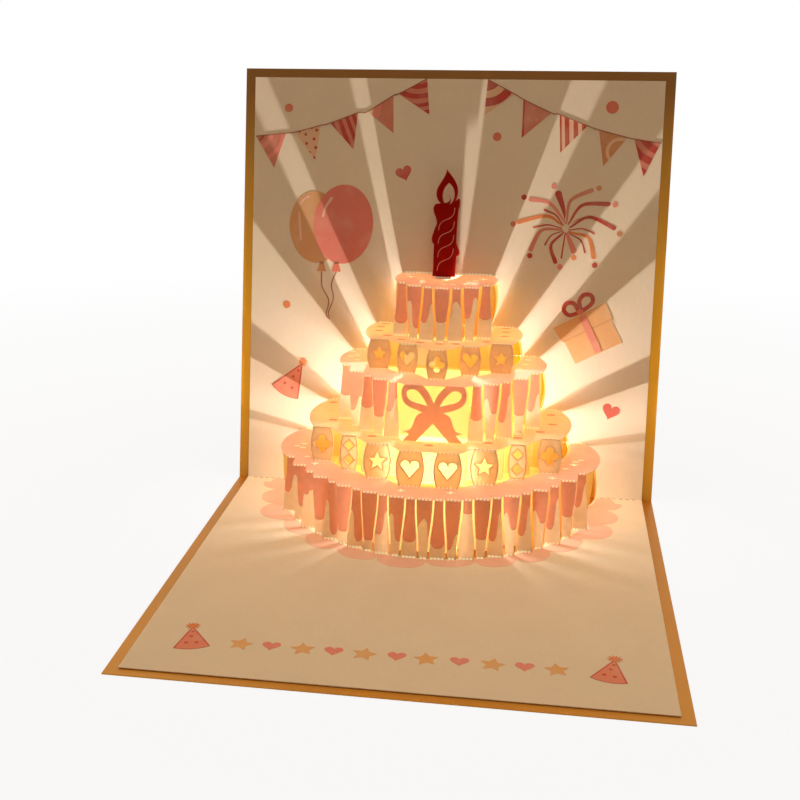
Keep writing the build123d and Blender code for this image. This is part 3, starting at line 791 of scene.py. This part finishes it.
# Firework: strokes from its centre outwards and the dots at their ends, in its own small units
FIREWORK_CENTRE = Vector((48.5, 114.0))
FIREWORK_UNIT = 0.0615
FIREWORK_RAYS = (
    ("pink", 1.5, ((-15, 50), (-115, 165), (-245, 190))),
    ("dark_red", 0.6, ((-30, 35), (-75, 90), (-150, 120))),
    ("orange", 1.5, ((-40, 30), (-135, 80), (-320, 35))),
    ("dark_red", 0.6, ((-50, 5), (-125, 20), (-215, 0))),
    ("rose", 1.5, ((-45, -10), (-165, -20), (-230, -150))),
    ("dark_red", 0.6, ((-35, -25), (-95, -50), (-135, -115))),
    ("dark_red", 1.4, ((-25, -40), (-95, -120), (-60, -230))),
    ("dark_red", 0.6, ((-5, -55), (-20, -200))),
    ("pink", 2.0, ((15, -50), (60, -150))),
    ("dark_red", 0.6, ((35, -40), (105, -80), (135, -160))),
    ("orange", 1.5, ((45, -30), (155, -60), (195, -190))),
    ("dark_red", 0.6, ((35, -10), (115, 0), (190, -30))),
    ("dark_red", 1.4, ((40, 15), (155, 80), (320, 10))),
    ("dark_red", 1.5, ((25, 45), (105, 160), (275, 170))),
    ("rose", 1.5, ((5, 60), (25, 190), (160, 260))),
    ("dark_red", 2.2, ((-20, 120), (-60, 230))),
    ("tan", 0.6, ((75, 60), (145, 85))),
)
FIREWORK_DOTS = (
    ("pink", (-93, 282)), ("tan", (208, 275)), ("pink", (320, 167)), ("dark_red", (-291, 203)),
    ("dot", (-357, 20)), ("dark_red", (-235, -193)), ("pink", (-27, -263)), ("orange", (63, -198)),
    ("dark_red", (205, -245)), ("tan", (360, -27)),
)
RAY_START, RAY_SWELL, DOT_RADIUS = 0.25, 1.3, 1.15


def draw_firework():
    firework = Motif("firework", back_point)
    for ink, width, points in FIREWORK_RAYS:
        points = [Vector(points[0]) / 2, *(Vector(point) for point in points)]
        line = [FIREWORK_CENTRE + point * FIREWORK_UNIT for point in points]
        firework.add(ink, [stroke(line, RAY_START, width * RAY_SWELL)])
    for ink, point in FIREWORK_DOTS:
        x, y = FIREWORK_CENTRE + Vector(point) * FIREWORK_UNIT
        firework.add(ink, [oval(x, y, DOT_RADIUS, count=16)])
    firework.build()


def draw_gift():
    """Gift box with its lid, ribbon and bow."""
    gift = Motif("gift", back_point)
    gift.add("gift", [[(50.2, 66.4), (55.3, 57), (74.3, 67), (69.0, 76.6)]])
    gift.add("balloon_tan", [[(49.6, 66.6), (50.0, 65.9), (69.9, 76.5), (69.5, 77.2)]], 2)
    gift.add("gift", [[(45.3, 71.9), (49.2, 66.2), (69.7, 77.3), (66.4, 83.6)]], 1)
    gift.add("ribbon", [[(55.7, 76.9), (58.2, 78.3), (66.0, 63.3), (63.3, 61.8)]], 3)
    loops = (
        [(55.6, 79.2), (53.4, 82.6), (50.3, 82.5), (49.3, 79.8), (51.6, 77.6), (55.2, 78.6)],
        [(56.6, 79.8), (55.6, 83.6), (57.4, 86.4), (60.4, 86.2), (61.0, 83.2), (57.4, 79.9)],
    )
    gift.add("dark_red", [stroke(loop, 1.7, 1.7) for loop in loops], 4)
    gift.add("dot", [oval(56.1, 79.2, 1.5, 1.2, count=16)], 5)
    gift.build()


def add_party_hat(motif, base_left, base_right, apex, sag, tuft):
    """Cone with a curved brim, spots, a line round it and a spiky tuft."""
    a, b, c = Vector(base_left), Vector(base_right), Vector(apex)
    down = ((a + b) / 2 - c).normalized() * sag
    brim = [a.lerp(b, t) + down * 4 * t * (1 - t) for t in [i / 8 for i in range(9)]]
    outline = brim + [c]
    middle = sum(outline, Vector((0, 0))) / len(outline)
    inner = [p.lerp(middle, 0.1) for p in outline]
    motif.add("hat", [outline])
    motif.add("hat_line", [
        [outline[i - 1], outline[i], inner[i], inner[i - 1]] for i in range(len(outline))
    ], 1)
    for across, up in ((0.3, 0.22), (0.66, 0.2), (0.45, 0.5), (0.55, 0.72)):
        spot = a.lerp(b, across).lerp(c, up)
        motif.add("hat_line", [oval(spot.x, spot.y, 0.75 - 0.25 * up, count=10)], 2)
    motif.add("orange", [star(c.x, c.y, tuft, 0.5, points=11)], 3)


def draw_page_marks():
    """Party hat, hearts and dots of the back page."""
    marks = Motif("page_marks", back_point)
    add_party_hat(marks, (-76, 42), (-64, 36), (-62.2, 52.5), sag=1.6, tuft=2.4)
    marks.add("heart", [heart(-20.5, 135.5, 7, 0.35), heart(71, 37.5, 7.5, -0.3)])
    dots = ((-71, 162, 1.8), (18.3, 151.3, 1.8), (65, 164, 2.6))
    marks.add("dot", [oval(x, y, radius, count=20) for x, y, radius in dots])
    marks.add("orange", [oval(-70, 77.5, 1.6, count=20)])
    marks.build()


def draw_base_row():
    """Row of stars and hearts between two party hats, near the front of the base page."""
    row = Motif("base_row", base_point)
    add_party_hat(row, (-72.5, 160), (-61, 156.6), (-70.3, 144), sag=1.4, tuft=2.6)
    add_party_hat(row, (60, 156.4), (71.5, 158.5), (68.3, 143.5), sag=1.4, tuft=2.6)
    row.add("star", [
        star(x, 153.5, 4.3, 0.5, turn=0.15 * (-1) ** i, up=-1)
        for i, x in enumerate((-51.5, -31, -11, 9, 30, 50))
    ])
    row.add("pink", [heart(x, 153, 6.2, up=-1) for x in (-41.5, -21, -0.5, 19.5, 40)])
    row.build()


# Icing puddle round the cake, seen from a hub: from the hole in the base page to scalloped lobes
HUB = Vector((0, 25))
HOLE_SIDE = [(67.0, 0.6), (66.8, 3), (65.6, 8), (61.7, 14.5), (63.3, 37.25)]
HOLE_FRONT = [
    (66.8 * math.sin(a), 4.5 + 72.5 * math.cos(a))
    for a in [math.radians(degrees) for degrees in range(66, -67, -3)]
]
HOLE = HOLE_SIDE + HOLE_FRONT + [(-x, depth) for x, depth in HOLE_SIDE[::-1]]
LOBES = (
    (77, 6), (75, 22), (72, 39), (58, 56), (44, 71), (31, 78), (12, 82), (-9, 85.5), (-28, 79.5),
    (-44, 71), (-57, 56), (-71, 40), (-74.5, 21), (-77, 5),
)
CUSP_SHARE, LAST_LOBE_SHARE = 0.9, 0.97
PUDDLE_STEPS, PUDDLE_LEAST = 260, 1.0


def polar(x, y):
    """Angle round the hub, growing from right to left, and distance from it."""
    angle = math.atan2(y - HUB.y, x - HUB.x)
    if angle <= -math.pi / 2:
        angle += 2 * math.pi
    return angle, (Vector((x, y)) - HUB).length


LOBE_TIPS = [polar(x, y) for x, y in LOBES]


def hole_reach(way):
    """Distance from the hub to the hole's outline along a way."""
    for p, q in zip(HOLE, HOLE[1:]):
        p, q = Vector(p) - HUB, Vector(q) - HUB
        side_p, side_q = way.cross(p), way.cross(q)
        if side_p * side_q <= 0 and side_p != side_q:
            spot = p.lerp(q, side_p / (side_p - side_q))
            if spot.dot(way) > 0:
                return spot.dot(way)
    return None


def lobe_reach(angle):
    """Distance from the hub to the scalloped edge at an angle."""
    near = min(range(len(LOBE_TIPS)), key=lambda i: abs(LOBE_TIPS[i][0] - angle))
    tip, reach = LOBE_TIPS[near]
    other = near + (1 if angle > tip else -1)
    if not 0 <= other < len(LOBE_TIPS):
        return reach * LAST_LOBE_SHARE
    half = abs(LOBE_TIPS[other][0] - tip) / 2
    cusp = (reach + LOBE_TIPS[other][1]) / 2 * CUSP_SHARE
    share = min(1.0, abs(angle - tip) / half)
    return cusp + (reach - cusp) * math.sqrt(1 - share ** 2)


def draw_icing_puddle():
    start, _ = polar(*HOLE[0])
    ring = []
    for i in range(PUDDLE_STEPS + 1):
        angle = start + (math.pi - 2 * start) * i / PUDDLE_STEPS
        way = Vector((math.cos(angle), math.sin(angle)))
        inner = hole_reach(way)
        if inner is not None:
            outer = max(lobe_reach(angle), inner + PUDDLE_LEAST)
            ring.append((HUB + way * inner, HUB + way * outer))
    puddle = Motif("icing_puddle", base_point)
    puddle.add("puddle", [[a, b, d, c] for (a, b), (c, d) in zip(ring, ring[1:])])
    puddle.build()


# Marks on the shelves: tier, ink, outline and places by x across and depth from the back page
# Sparks and dashes in the glow ink are painted light.
SPARK, SHELF_DASH = star(0, 0, 1.9, 0.3, points=4), oval(0, 0, 1.3, 0.35, count=10)
SHELF_MARKS = (
    (LOWER, "glow", SPARK, ((-47.9, 43.9), (-10, 68.5), (9.1, 67.7), (47.3, 44.7), (56, 27.7))),
    (UPPER, "glow", SPARK, ((-15, 9), (8.5, 21), (15.5, 9))),
    (WIDE_BAND, "mark", oval(0, 0, 1.9, 1.0, count=14), (
        (-47.6, 4.6), (-43.2, 29.3), (-24.4, 47.8), (-1, 55.4), (21.9, 48.5), (33.2, 40.1),
        (41.9, 30.8), (46.8, 20.2), (46.1, 7),
    )),
    (NARROW_BAND, "mark", oval(0, 0, 1.9, 0.8, count=14), (
        (-25.8, 1.6), (-27.3, 7.3), (-27.2, 14.4), (25.5, 1.6), (25.8, 8.2), (25.6, 15.9),
        (-22.5, 22.5), (-16, 28.5), (-8, 32), (0, 33.4), (6.5, 32.2), (18.5, 26.5),
    )),
    (LOWER, "glow", SHELF_DASH, (
        (-59.4, 23.6), (-56.5, 25.4), (56.7, 24), (59, 21.5), (-57, 20.2), (52.5, 33), (-52.5, 36),
    )),
    (MIDDLE, "glow", SHELF_DASH, (
        (-39.6, 4), (-39.2, 12.2), (-36.7, 10), (-35.5, 18), (35.7, 5.5), (34.3, 12.8), (32.1, 19.3),
    )),
    (UPPER, "glow", SHELF_DASH, ((-17, 4), (0, 23), (12.5, 13), (3.6, 22.4), (-9, 19.6))),
)


def draw_shelf_marks():
    marks = Motif("shelf_marks", base_point)
    for tier, ink, outline, places in SHELF_MARKS:
        copies = [placed(outline, x, depth, 0) for x, depth in places]
        marks.add(ink, copies, point=shelf_point(tier.top))
    marks.build()


# Perforations: short marks beside every fold of the strips, tiles and shelves, bright with painted light
DASH, DASH_PITCH, DASH_WIDTH, DASH_GAP = 0.9, 1.5, 0.36, 0.3
FOLD_INSET, BACK_INSET = 0.3, 1.0
CANDLE_SLOT = (-5.6, 2.8, 7.6)

# Tiles of the two bands on the right half: middle, half width at the fold and depth
TILE_ROWS = (
    (WIDE_BAND, ((7.3, 4.07, 63.3), (21, 4.07, 56.7), (33.5, 2.69, 48.4), (46, 3.5, 39.2))),
    (NARROW_BAND, ((0, 3.18, 42.5), (12.7, 3.18, 34.9), (24.9, 3.66, 29.3))),
)


def box(low_x, high_x, low_y, high_y):
    return [(low_x, low_y), (high_x, low_y), (high_x, high_y), (low_x, high_y)]


def dashes(low, high, line):
    """Small rectangles along a line across the card."""
    count = max(1, round((high - low) / DASH_PITCH))
    middles = [low + (high - low) * (i + 0.5) / count for i in range(count)]
    edges = line - DASH_WIDTH / 2, line + DASH_WIDTH / 2
    return [box(x - DASH / 2, x + DASH / 2, *edges) for x in middles]


def mark_fold(marks, x, width, depth, slant, gap):
    """Marks on the upright and on the level sheet beside one fold."""
    low, high = x - width / 2 + FOLD_INSET, x + width / 2 - FOLD_INSET
    marks.add("glow", dashes(low, high, slant + gap), point=front_point(depth))
    marks.add("glow", dashes(low, high, depth + gap), point=shelf_point(slant))


def draw_fold_marks():
    marks = Motif("fold_marks", back_point)
    for row in STRIP_ROWS:
        for x, wide_top in row.strips:
            bulge = math.sqrt(1 - (x / row.tier.half_width) ** 2)
            depth = row.near + (row.depth - row.near) * bulge
            widths = NARROW_END, WIDE_END
            mark_fold(marks, x, widths[wide_top], depth, row.tier.top, -DASH_GAP)
            mark_fold(marks, x, widths[not wide_top], depth, row.tier.floor, DASH_GAP)
    for tier, tiles in TILE_ROWS:
        for x, half, depth in tiles:
            for side in ((1,) if x == 0 else (-1, 1)):
                mark_fold(marks, side * x, 2 * half, depth, tier.top, -DASH_GAP)
                mark_fold(marks, side * x, 2 * half, depth, tier.floor, DASH_GAP)
    for tier in TIERS:
        half = tier.half_width * BACK_FOLD_SHARE - BACK_INSET
        marks.add("glow", dashes(-half, half, tier.top + DASH_GAP))
    marks.add("glow", dashes(*CANDLE_SLOT), point=shelf_point(UPPER.top))
    marks.build()


# Perforations of the spine on both sides of the cake
SPINE_START, SPINE_DASH, SPINE_PITCH, SPINE_COUNT = 68.5, 1.4, 2.65, 6
SPINE_EDGES = (0.35, 0.75)


def draw_spine_marks():
    marks = Motif("spine_marks", base_point)
    starts = [SPINE_START + i * SPINE_PITCH for i in range(SPINE_COUNT)]
    for side in (-1, 1):
        marks.add("string", [box(side * x, side * (x + SPINE_DASH), *SPINE_EDGES) for x in starts])
    marks.build()


def rims(node, inset, chosen):
    """Bands inside the outlines of a node's front faces, by depth: quads across and up the lean."""
    facing = Vector((0, -math.cos(LEAN), math.sin(LEAN)))
    vertices = [node.matrix_world @ vertex.co / MM for vertex in node.data.vertices]
    flat = [Vector((v.x, (v.z - FOLD_Z) / math.cos(LEAN))) for v in vertices]
    depths = [FOLD_Y - v.y + (v.z - FOLD_Z) * math.tan(LEAN) for v in vertices]
    sides = set()
    for polygon in node.data.polygons:
        corners = list(polygon.vertices)
        slant = sum(flat[i].y for i in corners) / len(corners)
        if polygon.normal.dot(facing) > 0.99 and chosen(slant, depths[corners[0]]):
            sides.update(zip(corners, corners[1:] + corners[:1]))
    onward = {a: b for a, b in sides if (b, a) not in sides}
    before = {b: a for a, b in onward.items()}
    moved = {}
    for index in onward:
        first = (flat[index] - flat[before[index]]).normalized()
        second = (flat[onward[index]] - flat[index]).normalized()
        middle = (first + second).normalized()
        inwards = Vector((-middle.y, middle.x))
        moved[index] = flat[index] + inwards * inset / max(0.6, middle.dot(first))
    made = {}
    for a, b in sorted(onward.items()):
        made.setdefault(round(depths[a], 2), []).append([flat[a], flat[b], moved[b], moved[a]])
    return made


# Candle: pale scored twists, as shares of its width and height, and a pale rim that is a painted highlight
# along its edges
TWIST_STARTS = (0.0, 0.185, 0.37, 0.555)
TWIST = ((-0.3, 0.08), (-0.28, 0.3), (0.36, 0.16), (0.38, 0.39))
TWIST_STEPS = 8
CANDLE_HIGHLIGHT_RIM = 0.2

# Pale rim of the tiles, and the depths between which they lie
TILE_RIM, TILE_DEPTHS = 0.5, (3, 75)


def draw_candle_marks():
    marks = Motif("candle_marks", front_point(CANDLE_DEPTH), "candle_card")
    for start in TWIST_STARTS:
        a, b, c, d = [Vector((x, start + y)) for x, y in TWIST]
        line = []
        for t in [i / TWIST_STEPS for i in range(TWIST_STEPS + 1)]:
            x, y = (a * (1 - t) ** 3 + b * 3 * t * (1 - t) ** 2 + c * 3 * t ** 2 * (1 - t) + d * t ** 3)
            line.append((CANDLE_OFFSET + x * CANDLE_WIDTH, CANDLE_FOOT + y * CANDLE_HEIGHT))
        marks.add("score_and_highlight", [stroke(line, 0.3, 0.34)])
    # Painted highlight: a pale band inside every outline of the candle's front.
    for outline in rims(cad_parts["candle"], CANDLE_HIGHLIGHT_RIM, lambda slant, depth: True).values():
        marks.add("score_and_highlight", outline)
    marks.build()


def draw_tile_edges():
    """Pale edge print round every tile of the two bands."""
    edges = Motif("tile_edges", base_point)
    near, far = TILE_DEPTHS
    for tier in (WIDE_BAND, NARROW_BAND):
        found = rims(
            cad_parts["inner_sheet"], TILE_RIM,
            lambda slant, depth: near < depth < far and tier.floor < slant < tier.top,
        )
        for depth, outlines in found.items():
            edges.add("pale", outlines, point=front_point(depth))
    edges.build()


draw_bunting()
draw_balloons()
draw_firework()
draw_gift()
draw_page_marks()
draw_base_row()
draw_icing_puddle()
draw_shelf_marks()
draw_fold_marks()
draw_spine_marks()
draw_candle_marks()
draw_tile_edges()

# Camera fitted to the corners of the card. Focal length and image centre are in pixels of the
# photograph's frame, and the place is in card widths from the middle of the fold.
IMAGE_SIZE = 800
FOCAL_LENGTH, IMAGE_X, IMAGE_Y = 1242.3, 342.4, 374.7
CAMERA_TURN = [math.radians(degrees) for degrees in (105.8, 8.93, 2.72)]
CAMERA_PLACE = Vector((0.2211, -2.8306, 1.0743))
SENSOR_WIDTH = 36


def add_camera():
    camera = add_object("camera", bpy.data.cameras.new("camera"))
    about_x, about_y, about_z = [
        Matrix.Rotation(angle, 3, axis) for angle, axis in zip(CAMERA_TURN, "XYZ")
    ]
    to_world = (about_z @ about_y @ about_x).transposed() @ Matrix.Diagonal((1, -1, -1))
    place = (CAMERA_PLACE * CARD_WIDTH + Vector((0, FOLD_Y, FOLD_Z))) * MM
    camera.matrix_world = Matrix.Translation(place) @ to_world.to_4x4()
    camera.data.sensor_width = SENSOR_WIDTH
    camera.data.lens = FOCAL_LENGTH / IMAGE_SIZE * SENSOR_WIDTH
    camera.data.shift_x = (IMAGE_SIZE / 2 - IMAGE_X) / IMAGE_SIZE
    camera.data.shift_y = (IMAGE_Y - IMAGE_SIZE / 2) / IMAGE_SIZE
    camera.data.clip_start = 0.01
    camera.data.clip_end = 20
    scene.camera = camera


add_camera()

# Light of the card's own diode
LED_POWER, LED_COLOUR, LED_RADIUS = 0.95, (1.0, 0.95, 0.88), 0.0007
LED_LIFT = 0.0012
SAME_AS_PLAIN_AT = 0.1


def add_lamp(name, kind, energy, colour, size, place, way=(0, 0, -1)):
    """Lamp that shines along a way; its size is the soft radius, or an area lamp's side."""
    data = bpy.data.lights.new(name, kind)
    data.energy = energy
    data.color = colour
    setattr(data, "size" if kind == "AREA" else "shadow_soft_size", size)
    lamp = add_object(name, data)
    lamp.location = place
    lamp.rotation_euler = Vector(way).to_track_quat("-Z", "Y").to_euler()
    return lamp


def add_led_beam(name, place, way, degrees, blend):
    """Beam of the diode, whose light doesn't fade with the distance."""
    lamp = add_lamp(name, "SPOT", LED_POWER, LED_COLOUR, LED_RADIUS, place, way)
    lamp.data.spot_size = math.radians(degrees)
    lamp.data.spot_blend = blend
    lamp.data.use_nodes = True
    tree = lamp.data.node_tree
    falloff = tree.nodes.new("ShaderNodeLightFalloff")
    falloff.inputs["Strength"].default_value = 1 / SAME_AS_PLAIN_AT ** 2
    emission = next(node for node in tree.nodes if node.type == "EMISSION")
    tree.links.new(falloff.outputs["Constant"], emission.inputs["Strength"])
    return lamp


def add_studio_light():
    key_place, fill_place = Vector((0.0, 0.06, 0.95)), Vector((-0.5, -0.7, 0.35))
    fill_target = Vector((0, 0, 0.06))
    add_lamp("key", "AREA", 4.6, (1, 0.75, 0.5), 0.5, key_place, -key_place)
    add_lamp("fill", "AREA", 0.2, (1, 0.8, 0.58), 0.8, fill_place, fill_target - fill_place)


def add_card_light():
    """Diode, thin ray past the candle that only the candle blocks, and glow inside the cake."""
    low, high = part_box("led_body")
    place = Vector(((low.x + high.x) / 2, (low.y + high.y) / 2, high.z + LED_LIFT))
    add_led_beam("led", place, (0, 0.6, 0.8), degrees=168, blend=0.3)
    ray = add_led_beam("candle_ray", place, back_point(10.2, 180) - place, degrees=10, blend=0.15)
    ray.scale = (0.25, 1, 1)
    blockers = bpy.data.collections.new("ray_blockers")
    blockers.objects.link(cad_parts["candle"])
    ray.light_linking.blocker_collection = blockers
    glow_place = Vector((0, FOLD_Y - 30, FOLD_Z + 20)) * MM
    add_lamp("inner_glow", "POINT", 0.21, (1.0, 0.98, 0.94), 0.012, glow_place)


add_studio_light()
add_card_light()

# Surroundings
WHITE = (1, 1, 1, 1)
WORLD_TINT, WORLD_STRENGTH = (1.0, 0.72, 0.5, 1), 0.08
FLOOR_HALF = 3
FLOOR_GREY = (0.8, 0.8, 0.8, 1)
SHADOW_NEAR, SHADOW_FAR, WHITE_NEAR, WHITE_FAR = 0.15, 0.6, 0.9, 1.0


def seen_directly(nodes):
    """1 for camera, glossy and transmission rays."""
    rays = nodes.add("ShaderNodeLightPath").outputs
    value = nodes.math("MAXIMUM", rays["Is Camera Ray"], rays["Is Glossy Ray"])
    return nodes.math("MAXIMUM", value, rays["Is Transmission Ray"])


def add_world():
    """Soft warm light, white where it is seen."""
    scene.world = bpy.data.worlds.new("world")
    nodes = Nodes(scene.world, "ShaderNodeOutputWorld")
    soft = nodes.add("ShaderNodeBackground", {"Color": WORLD_TINT, "Strength": WORLD_STRENGTH})
    white = nodes.add("ShaderNodeBackground", {"Color": WHITE, "Strength": 1.0})
    chosen = nodes.add(
        "ShaderNodeMixShader", {0: seen_directly(nodes), 1: soft.outputs[0], 2: white.outputs[0]}
    )
    nodes.put(nodes.output.inputs["Surface"], chosen.outputs[0])


def floor_material():
    """White to the camera, with the card's shadow near it."""
    nodes = look_nodes("floor_look")
    matte = nodes.add("ShaderNodeBsdfPrincipled", {"Base Color": FLOOR_GREY, "Roughness": 0.9})
    white = nodes.add("ShaderNodeEmission", {"Color": WHITE, "Strength": 1.0})
    place = nodes.add("ShaderNodeTexCoord").outputs["Object"]
    away = nodes.add("ShaderNodeVectorMath", {0: place}, operation="LENGTH").outputs["Value"]
    share = nodes.add("ShaderNodeMapRange", {
        0: away, 1: SHADOW_NEAR, 2: SHADOW_FAR, 3: WHITE_NEAR, 4: WHITE_FAR,
    }).outputs[0]
    share = nodes.both(share, seen_directly(nodes))
    mixed = nodes.add("ShaderNodeMixShader", {0: share, 1: matte.outputs[0], 2: white.outputs[0]})
    nodes.put(nodes.output.inputs["Surface"], mixed.outputs[0])
    return nodes.owner


def add_floor():
    mesh = bpy.data.meshes.new("floor")
    corners = box(-FLOOR_HALF, FLOOR_HALF, -FLOOR_HALF, FLOOR_HALF)
    mesh.from_pydata([(x, y, 0) for x, y in corners], [], [(0, 1, 2, 3)])
    mesh.materials.append(floor_material())
    floor = add_object("floor", mesh)


add_world()
add_floor()

scene.view_settings.view_transform = "Standard"
